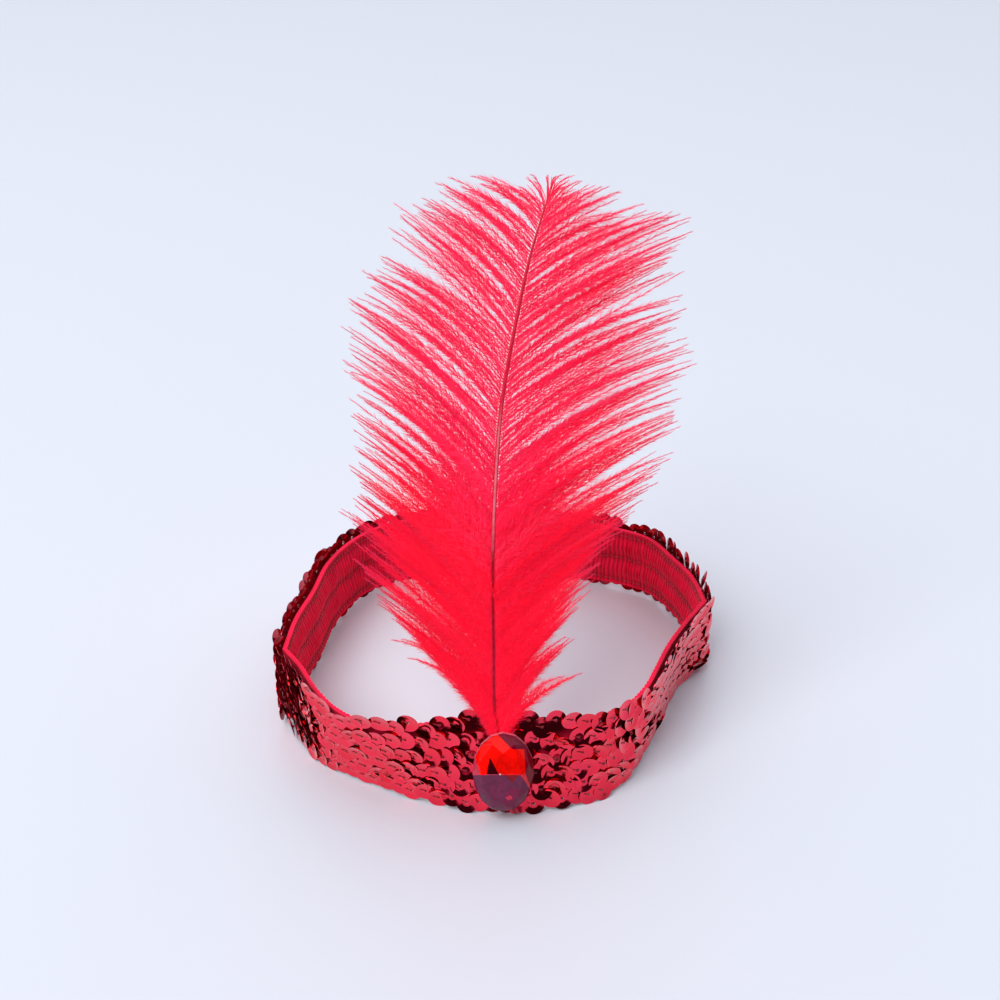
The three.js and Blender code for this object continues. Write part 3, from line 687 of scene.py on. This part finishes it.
# The vanes: the feather's barbs, dyed red. Each barb is a fine strand that leaves the shaft and
# arches outward, with soft barbules along both its sides. The upper barbs are loose and cling
# together in tufts; the lower ones are downy, with longer barbules, and lie close.
LEFT_REACH = 42.0
RIGHT_REACH = 52.0
BARB_STEPS = 20
BARB_DIAMETER = 0.34
BARB_TIP_DIAMETER = 0.10
BARB_TOP = 177.5
DOWN_TOP = 70.0
ROOT_ASIDE = 0.7
ROOT_FORWARD = 0.6
CURL = 1.6
CLOSED_HEIGHTS = [82, 108]
CLOSED_SHARE = 0.35
RED_HEIGHTS = [76, 104]
FEATHER_RED = (1.0, 0.080, 0.400, 1)
FEATHER_DEEP = (1.0, 0.004, 0.014, 1)
FEATHER_PALE = (1.0, 0.32, 0.66, 1)
FEATHER_TIP = (0.60, 0.08, 0.22, 1)
FEATHER_PAINTED_GLOW = (1.0, 0.010, 0.060, 1)
FEATHER_THROUGH = (1.0, 0.09, 0.38, 1)
# Tips of the barbs: shares of the feather's height and of the reach, and the barb's rise in degrees
LEFT_TIPS = [
    (0.165, 0.1, 64), (0.222, 0.25, 55), (0.262, 0.42, 49), (0.3, 0.61, 44), (0.335, 0.74, 42),
    (0.37, 0.84, 41), (0.42, 0.93, 40), (0.46, 0.98, 40),
    (0.6, 0.97, 40), (0.77, 1, 40), (0.84, 0.94, 38), (0.905, 0.72, 37), (0.955, 0.5, 36),
    (0.985, 0.3, 34), (1, 0.05, 34), (1, -0.1, 40),
]
RIGHT_TIPS = [
    (0.165, 0.07, 66), (0.24, 0.19, 60), (0.315, 0.35, 50), (0.385, 0.45, 46), (0.46, 0.6, 40),
    (0.535, 0.78, 34), (0.617, 0.93, 30), (0.72, 0.96, 28), (0.805, 0.98, 27), (0.88, 0.94, 26),
    (0.937, 0.93, 22), (0.95, 0.78, 25), (0.972, 0.60, 30), (0.994, 0.46, 36), (1, 0.36, 50),
]

# The barbs' material glows a little. This is painted light, which makes them brighter than the lamps alone
# would.
feather_material, feather_shader = new_material(
    "dyed_barbs_painted_glow", FEATHER_RED, 0.55,
    {"Sheen Weight": 0.5, "Specular IOR Level": 0.3, "Emission Color": FEATHER_PAINTED_GLOW,
     "Emission Strength": 0.72})
feather_shader.inputs["Sheen Tint"].default_value = (1.0, 0.35, 0.5, 1)
barb_tint = blend(feather_material, painted(feather_material, "down_share"), FEATHER_RED, FEATHER_DEEP)
tip_range = spread(feather_material, painted(feather_material, "tip_share"), 0.80, 1.0)
barb_tint = blend(feather_material, tip_range, barb_tint, FEATHER_TIP)
dye_range = spread(feather_material, painted(feather_material, "dye"), 0.0, 1.0, 0.45, 1.0)
barb_tint = blend(feather_material, 1.0, barb_tint, dye_range, "MULTIPLY")
barb_tint = blend(feather_material, painted(feather_material, "pale"), barb_tint, FEATHER_PALE)
glow = add_node(feather_material, "ShaderNodeBsdfTranslucent", {"Color": FEATHER_THROUGH})
feed(feather_material, barb_tint, feather_shader, "Base Color")
feather_mix = add_node(feather_material, "ShaderNodeMixShader", {"Fac": 0.66})
feather_material.node_tree.links.new(feather_shader.outputs["BSDF"], feather_mix.inputs[1])
feather_material.node_tree.links.new(glow.outputs["BSDF"], feather_mix.inputs[2])
feather_material.node_tree.links.new(feather_mix.outputs["Shader"],
                                     feather_material.node_tree.nodes["Material Output"].inputs["Surface"])


def barb_ends(side, reach, tips, heights):
    """The tip of the barb that leaves the shaft at each height, read from the vane's outline."""
    outline = smooth_run([(side * out * reach, up * FEATHER_HEIGHT, math.radians(rise))
                          for up, out, rise in tips], 60)
    root = outline[:, 1].copy()
    for _ in range(8):
        root = outline[:, 1] - np.abs(outline[:, 0] - shaft_right(root)) * np.tan(outline[:, 2])
    root = np.maximum.accumulate(root)
    return np.stack([np.interp(heights, root, outline[:, axis]) for axis in (0, 1)], axis=-1), root


def barb_paths(side, reach, tip, heights, draw, looks):
    """Lines of many barbs on the feather's sheet, drawn together in tufts towards their tips."""
    radius = shaft_radius(heights)
    root = np.column_stack([shaft_right(heights) + side * radius * ROOT_ASIDE, heights])
    length = np.minimum(draw.normal(looks["fullness"], looks["jitter"], len(heights)), 1.02)[:, None]
    tip = root + (tip - root) * length + draw.normal(0, looks["scatter"], tip.shape)
    arch = np.column_stack([np.full(len(heights), 0.42), draw.normal(looks["arch"], 0.08, len(heights))])
    bend = root + (tip - root) * arch
    share = np.linspace(0, 1, BARB_STEPS)[None, :, None]
    flat = (root[:, None] * (1 - share) ** 2 + bend[:, None] * 2 * share * (1 - share)
            + tip[:, None] * share ** 2)
    forward = (draw.normal(0, 0.5, len(heights))[:, None] * share[..., 0]
               + ROOT_FORWARD * radius[:, None] * (1 - share[..., 0]) ** 5)
    first = 0
    while first < len(heights):
        last = min(first + int(draw.integers(*looks["tufts"])), len(heights))
        middle = flat[first:last].mean(axis=0, keepdims=True)
        swing = np.array([draw.normal(0, 0.5), draw.normal(0, looks["swing"])])
        pull = draw.uniform(*looks["pull"]) * share ** 1.7
        flat[first:last] += (middle - flat[first:last]) * pull + swing * share ** 1.5
        forward[first:last] += draw.normal(0, 1.5) * share[..., 0] ** 1.4
        first = last
    # The tips that would pass the feather's top curl over and end level with it
    flat[..., 1] = BARB_TOP - CURL * np.logaddexp(0, (BARB_TOP - flat[..., 1]) / CURL)
    return sheet_point(flat[..., 0], flat[..., 1], reach, forward)


def stray_paths(reach, strays):
    """Lines of the few barbs that stand out by themselves, from corner points on the sheet."""
    share = np.linspace(0, 1, BARB_STEPS)[None, :, None]
    corners = np.array(strays, float).reshape(-1, 3, 2)
    root, bend, tip = (corners[:, place, None] for place in range(3))
    flat = root * (1 - share) ** 2 + bend * 2 * share * (1 - share) + tip * share ** 2
    return sheet_point(flat[..., 0], flat[..., 1], reach, 1.6 - share[..., 0])


def barbules(lines, looks, draw):
    """Fine closed spikes along both sides of every barb, leaning towards its tip."""
    span = np.linalg.norm(np.diff(lines, axis=1), axis=2).sum(axis=1)
    counts = np.maximum((span / looks["spacing"]).astype(int), 4)
    barb = np.repeat(np.arange(len(lines)), counts)
    starts = np.concatenate([[0], np.cumsum(counts)[:-1]])
    share = (np.arange(len(barb)) - starts[barb] + draw.random(len(barb))) / counts[barb]
    share = 0.005 + 0.99 * share ** 1.25
    step = np.minimum((share * (BARB_STEPS - 1)).astype(int), BARB_STEPS - 2)
    part = (share * (BARB_STEPS - 1) - step)[:, None]
    here, onward = lines[barb, step], lines[barb, step + 1]
    base = here + (onward - here) * part
    along = unit(onward - here)
    front = unit(np.array([0, -1.0, 0]) - along * -along[:, 1:2])
    across = np.cross(along, front)
    side = np.where(draw.random(len(barb)) < 0.5, 1.0, -1.0)
    lift = np.radians(draw.normal(0, looks["spread"], len(barb)))
    angle = np.interp(share, [0, 0.6, 1], looks["angles"])
    angle = np.radians(angle + draw.normal(0, 9, len(barb)))
    sideways = across * (side * np.cos(lift))[:, None] + front * np.sin(lift)[:, None]
    heading = along * np.cos(angle)[:, None] + sideways * np.sin(angle)[:, None]
    length = np.interp(share, [0, 0.2, 0.6, 1], looks["lengths"])
    length = length * draw.uniform(0.6, 1.2, len(barb)) * np.minimum(span[barb] / 25, 1)
    # Just above the down the barbules beside the shaft are still long and close the vane
    closed = np.interp(lines[barb, 0, 2], CLOSED_HEIGHTS, [1 - looks["down"], 0])
    closed = closed * np.clip(1.5 - share / CLOSED_SHARE, 0, 1)
    length = length * (1 + 1.2 * closed)
    width = unit(np.cross(heading, front))
    thick = np.cross(heading, width)
    turn = 2 * np.pi * np.arange(3) / 3
    radius = looks["barbule"] / 2 * np.interp(share, [0, 0.5, 1], [1, 0.8, 0.4]) * (1 + 0.6 * closed)
    corners = base[:, None] + radius[:, None, None] * (
        width[:, None] * np.cos(turn)[:, None] + thick[:, None] * np.sin(turn)[:, None])
    end = base + heading * length[:, None]
    points = np.concatenate([corners, end[:, None]], axis=1)
    first = 4 * np.arange(len(barb))[:, None, None]
    faces = first + np.array([(0, 1, 3), (1, 2, 3), (2, 0, 3), (0, 2, 1)])[None]
    return points, faces.reshape(-1, 3), share, barb


def make_vane(name, lines, draw, looks):
    """One part of a vane as a single piece: its barbs as thin tubes, and all their barbules."""
    share = np.linspace(0, 1, BARB_STEPS)
    radii = (BARB_DIAMETER + (BARB_TIP_DIAMETER - BARB_DIAMETER) * share ** 0.7) / 2
    radii = np.broadcast_to(radii, lines.shape[:2])
    barb_points, barb_faces = tubes(lines, radii, 3, np.array([0, -1.0, 0]))
    spikes, spike_faces, spike_share, spike_barb = barbules(lines, looks, draw)
    points = np.vstack([barb_points, spikes.reshape(-1, 3)])
    faces = barb_faces + (spike_faces + len(barb_points)).tolist()
    piece = make_piece(name, points, faces, feather_material)
    barb_dye = draw.uniform(*looks["dye"], len(lines))
    mark_points(piece, "tip_share", np.concatenate([
        np.broadcast_to(share[None, :, None], (*lines.shape[:2], 3)).ravel(), np.repeat(spike_share, 4)]))
    barb_down = np.maximum(looks["down"], np.interp(lines[:, 0, 2], RED_HEIGHTS, [0.8, 0]))
    barb_pale = np.maximum(draw.uniform(*looks["pale"], len(lines)), 0)
    # The barbules take their barb's own marks, but turn only half as pale
    for mark, values, kept in (("down_share", barb_down, 1), ("dye", barb_dye, 1), ("pale", barb_pale, 0.5)):
        mark_points(piece, mark, np.concatenate([
            np.repeat(values, lines.shape[1] * 3), np.repeat(values[spike_barb] * kept, 4)]))
    return piece


# The two kinds of barb. So many barbs make a tuft and are pulled together by a share, and scatter and
# swing move their tips in mm. Barbules have a spacing, a width and lengths in mm, and degrees.
LOOSE = {"fullness": 0.95, "tufts": (2, 7), "pull": (0.0, 0.45), "jitter": 0.07, "scatter": 1.3,
         "arch": 0.68, "swing": 1.7, "spacing": 0.158, "barbule": 0.21, "lengths": (1.3, 2.7, 4.0, 1.2),
         "angles": (34, 26, 13), "spread": 28, "down": 0.0, "dye": (0.0, 1.0), "pale": (-0.3, 1.0)}
DOWNY = {"fullness": 0.98, "tufts": (2, 5), "pull": (0.1, 0.4), "jitter": 0.06, "scatter": 1.2,
         "arch": 0.60, "swing": 0.9, "spacing": 0.085, "barbule": 0.18, "lengths": (2.8, 4.6, 4.0, 0.9),
         "angles": (44, 32, 18), "spread": 32, "down": 1.0, "dye": (0.0, 1.0), "pale": (-0.3, 0.35)}
LOOSE_PITCH = 0.76
DOWNY_PITCH = 0.7
# The barbs that stick out alone, by root, bend and tip, each as across and up in mm
LEFT_STRAYS = [((-1, 30), (-14, 53), (-31, 52.5)), ((-1, 29), (-13, 52), (-28, 53)),
               ((-1, 27), (-11, 47), (-26.5, 47.7)), ((-1, 26), (-10, 45), (-23, 47)),
               ((-1, 66), (-4, 76), (-9.5, 75.5))]
RIGHT_STRAYS = [((1, 27), (9, 40), (23.6, 43.6)), ((1, 26), (9, 39), (21, 42.5)),
                ((1, 28), (8, 42), (18.5, 43))]
TOP_TUFT = 20
TUFT_TURNS = (68, 5)
TUFT_LENGTHS = (12, 3.5)
for side_name, side, reach, tips, strays, seed in (
        ("left", -1, LEFT_REACH, LEFT_TIPS, LEFT_STRAYS, 31),
        ("right", 1, RIGHT_REACH, RIGHT_TIPS, RIGHT_STRAYS, 47)):
    _, outline_roots = barb_ends(side, reach, tips, np.array([0.0]))
    down_heights = np.arange(outline_roots[0], DOWN_TOP, DOWNY_PITCH)
    loose_heights = np.arange(DOWN_TOP, outline_roots[-1], LOOSE_PITCH)
    draw = np.random.default_rng(seed)
    down_tips, _ = barb_ends(side, reach, tips, down_heights)
    down_lines = barb_paths(side, reach, down_tips, down_heights, draw, DOWNY)
    down_lines = np.concatenate([down_lines, stray_paths(reach, strays)])
    make_vane(f"{side_name}_down", down_lines, draw, DOWNY)
    draw = np.random.default_rng(seed + 1)
    loose_tips, _ = barb_ends(side, reach, tips, loose_heights)
    tuft_heights = np.linspace(outline_roots[-1] - 4, FEATHER_HEIGHT - 2, TOP_TUFT)
    tuft_turn = np.radians(np.linspace(*TUFT_TURNS, TOP_TUFT) * side + 15)
    tuft_length = np.linspace(*TUFT_LENGTHS, TOP_TUFT)[:, None]
    tuft_tips = np.column_stack([shaft_right(tuft_heights), tuft_heights]) + tuft_length * np.column_stack(
        [np.sin(tuft_turn), np.cos(tuft_turn)])
    loose_lines = barb_paths(side, reach, np.concatenate([loose_tips, tuft_tips]),
                             np.concatenate([loose_heights, tuft_heights]), draw, LOOSE)
    loose = make_vane(f"{side_name}_barbs", loose_lines, draw, LOOSE)
    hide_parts(f"{side_name}_vane")

# The stone: an oval faceted acrylic stone, 18 by 25 mm, flat at the back with a foil coating, glued
# over the quill. Its clear surface mirrors the card and the dark room. Its inner facets are painted
# with the foil's light and shade: patches of painted glints, highlights and shade in bright and dark red.
STONE_WIDTH = 18.0
STONE_HEIGHT = 25.0
STONE_GIRDLE = 1.3
STONE_CROWN = 4.2
STONE_SIDES = 16
CROWN_BREAK = 0.6
CROWN_RING = 0.87
TABLE_RING = 0.64
STONE_MIDDLE = FIELD_HEIGHT / 2
STONE_OUT = PRESSED_FACE + (2 * SEAT_GAP + QUILL_DIAMETER) / math.cos(FRONT_LEAN)
INNER_SLANT = 0.5
FOIL_SHADE_LINE = 1.4
FOIL_PAINTED_SHADE = (0.155, 0.020, 0.066)
FOIL_UPPER_PAINTED_SHADE = (0.20, 0.003, 0.022)
GIRDLE_PAINTED_HIGHLIGHT = (0.62, 0.13, 0.19)
# Patches of painted glint, highlight, shade and lit red in the foil on the stone's flat table: colour, then
# corners in mm from its middle
PAINTED_FOIL_PATCHES = [
    ((1.0, 0.60, 0.65), [(-1.2, 1.4), (-0.7, 1.4), (-0.7, 1.85), (-1.2, 1.85)]),
    ((0.55, 0.05, 0.10), [(-5.4, 1.4), (-1.2, 1.4), (-1.2, 1.62), (-5.4, 1.62)]),
    ((0.05, 0.001, 0.004), [(-3.9, 7.0), (-4.8, 1.4), (-1.2, 1.4)]),
    ((0.26, 0.002, 0.010), [(0.4, 1.4), (4.3, 1.4), (2.6, -0.9)]),
    ((0.60, 0.03, 0.08), [(0.5, -5.6), (2.2, -5.0), (2.6, -6.1), (1.2, -6.6)]),
    ((0.26, 0.016, 0.070), [(-0.6, -0.2), (-0.2, -0.2), (-1.4, -4.6), (-1.7, -4.4)]),
    ((0.25, 0.014, 0.065), [(-3.6, -1.4), (-3.3, -1.4), (-2.2, -7.2), (-2.6, -7.0)]),
    ((0.21, 0.012, 0.058), [(1.2, -2.6), (8.2, -3.6), (8.2, -7.0), (5.4, -10.4), (-0.6, -9.8), (0.4, -6.4)]),
    ((0.62, 0.035, 0.08), [(-8.1, 7.2), (-6.8, 1.4), (-9.9, 1.3), (-9.9, 7.2)]),
    ((0.17, 0.001, 0.020), [(-2.0, 14.6), (6.0, 15.0), (6.9, 9.6), (2.8, 9.5), (2.0, 10.1)]),
    ((0.24, 0.002, 0.012), [(6.0, 9.6), (9.9, 9.6), (9.9, -3.0), (8.0, -3.0), (6.4, 2.0)]),
    ((0.90, 0.03, 0.06), [(6.4, 2.0), (8.0, -3.0), (9.0, -3.6), (8.6, -4.6), (5.0, 1.4)]),
    ((1.0, 0.004, 0.002), [(-2.0, 14.6), (2.0, 10.1), (2.8, 9.5), (6.0, 9.6), (6.4, 2.0), (5.0, 1.4),
                           (-6.8, 1.4), (-8.1, 7.2), (-6.6, 10.5)]),
]


def stone_ring(count, turn, share, height):
    angle = 2 * np.pi * (np.arange(count) + turn) / count
    return np.column_stack([np.cos(angle) * share * STONE_WIDTH / 2,
                            np.sin(angle) * share * STONE_HEIGHT / 2, np.full(count, height)])


def inside_patch(across, up, corners):
    """Whether a place on the table lies within a patch, by counting the edges to its right."""
    crossings = 0
    for (x0, y0), (x1, y1) in zip(corners, corners[1:] + corners[:1]):
        if (y0 > up) != (y1 > up) and across < x0 + (up - y0) * (x1 - x0) / (y1 - y0):
            crossings += 1
    return crossings % 2 == 1


STONE_TOP = STONE_GIRDLE + STONE_CROWN
half_sides = STONE_SIDES // 2
stone_corners = np.vstack([
    stone_ring(STONE_SIDES, 0, 1, 0), stone_ring(STONE_SIDES, 0, 1, STONE_GIRDLE),
    stone_ring(half_sides, 0.5, CROWN_RING, STONE_GIRDLE + STONE_CROWN * CROWN_BREAK),
    stone_ring(half_sides, 0, TABLE_RING, STONE_TOP)])
cut = bmesh.new()
for corner in stone_corners:
    cut.verts.new(corner)
bmesh.ops.convex_hull(cut, input=cut.verts[:])
bmesh.ops.dissolve_limit(cut, angle_limit=math.radians(0.5), verts=cut.verts[:], edges=cut.edges[:])
for _, corners in PAINTED_FOIL_PATCHES:
    for (x0, y0), (x1, y1) in zip(corners, corners[1:] + corners[:1]):
        faces = [face for face in cut.faces if face.calc_center_median().z > STONE_GIRDLE]
        edges = {edge for face in faces for edge in face.edges}
        verts = {vert for face in faces for vert in face.verts}
        normal = np.cross([x1 - x0, y1 - y0, 0], [0, INNER_SLANT, 1])
        bmesh.ops.bisect_plane(cut, geom=[*verts, *edges, *faces], dist=1e-5,
                               plane_co=(x0, y0, STONE_TOP), plane_no=normal)
cut.normal_update()
cut.verts.index_update()
# Below the shade line the foil is painted dark as painted shade, and above it a dim painted red. The patches
# on top are painted glints, highlights and shade.
stone_painted_colours = []
for face in cut.faces:
    middle = face.calc_center_median()
    up = middle.y + (STONE_TOP - middle.z) * INNER_SLANT
    colour = FOIL_PAINTED_SHADE if up < FOIL_SHADE_LINE else FOIL_UPPER_PAINTED_SHADE
    # The girdle's sides get a pale painted highlight.
    if abs(face.normal.z) < 0.1:
        colour = GIRDLE_PAINTED_HIGHLIGHT
    if middle.z > STONE_GIRDLE:
        colour = next((foil for foil, corners in PAINTED_FOIL_PATCHES if inside_patch(middle.x, up, corners)), colour)
    stone_painted_colours.append((*colour, 1))
stone_local = np.array([vert.co[:] for vert in cut.verts])
stone_faces = [[vert.index for vert in face.verts] for face in cut.faces]
cut.free()
lean_up = np.array([0, math.sin(FRONT_LEAN), math.cos(FRONT_LEAN)])
lean_out = np.array([0, -math.cos(FRONT_LEAN), math.sin(FRONT_LEAN)])
stone_seat = np.array([STONE_SHIFT, math.tan(FRONT_LEAN) * STONE_MIDDLE - STONE_OUT, STONE_MIDDLE])
stone_points = (stone_seat + stone_local[:, :1] * np.array([1.0, 0, 0]) + stone_local[:, 1:2] * lean_up
                + stone_local[:, 2:] * lean_out)

stone_material, stone_shader = new_material(
    "foiled_acrylic", FOIL_PAINTED_SHADE, 0.45,
    {"Specular IOR Level": 0.0, "Coat Weight": 0.42, "Coat Roughness": 0.015, "Coat IOR": 1.52})
# The foil mark holds each cell's painted light and shade.
foil_painted_light_mark = add_node(stone_material, "ShaderNodeAttribute", attribute_name="foil")
place = add_node(stone_material, "ShaderNodeTexCoord").outputs["Object"]
depth_streaks = add_node(stone_material, "ShaderNodeTexNoise",
                         {"Vector": place, "Scale": 420.0, "Detail": 2.0, "Distortion": 1.5})
streak_range = spread(stone_material, depth_streaks.outputs["Fac"], 0.3, 0.7, 0.8, 1.15)
painted_foil_tone = blend(stone_material, 1.0, foil_painted_light_mark.outputs["Color"], streak_range, "MULTIPLY")
feed(stone_material, painted_foil_tone, stone_shader, "Base Color")
stone = make_piece("faceted_stone", stone_points, stone_faces, stone_material, 1)
foil = stone.data.attributes.new("foil", "FLOAT_COLOR", "FACE")
foil.data.foreach_set("color", np.array(stone_painted_colours, np.float32).ravel())
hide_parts("gem")
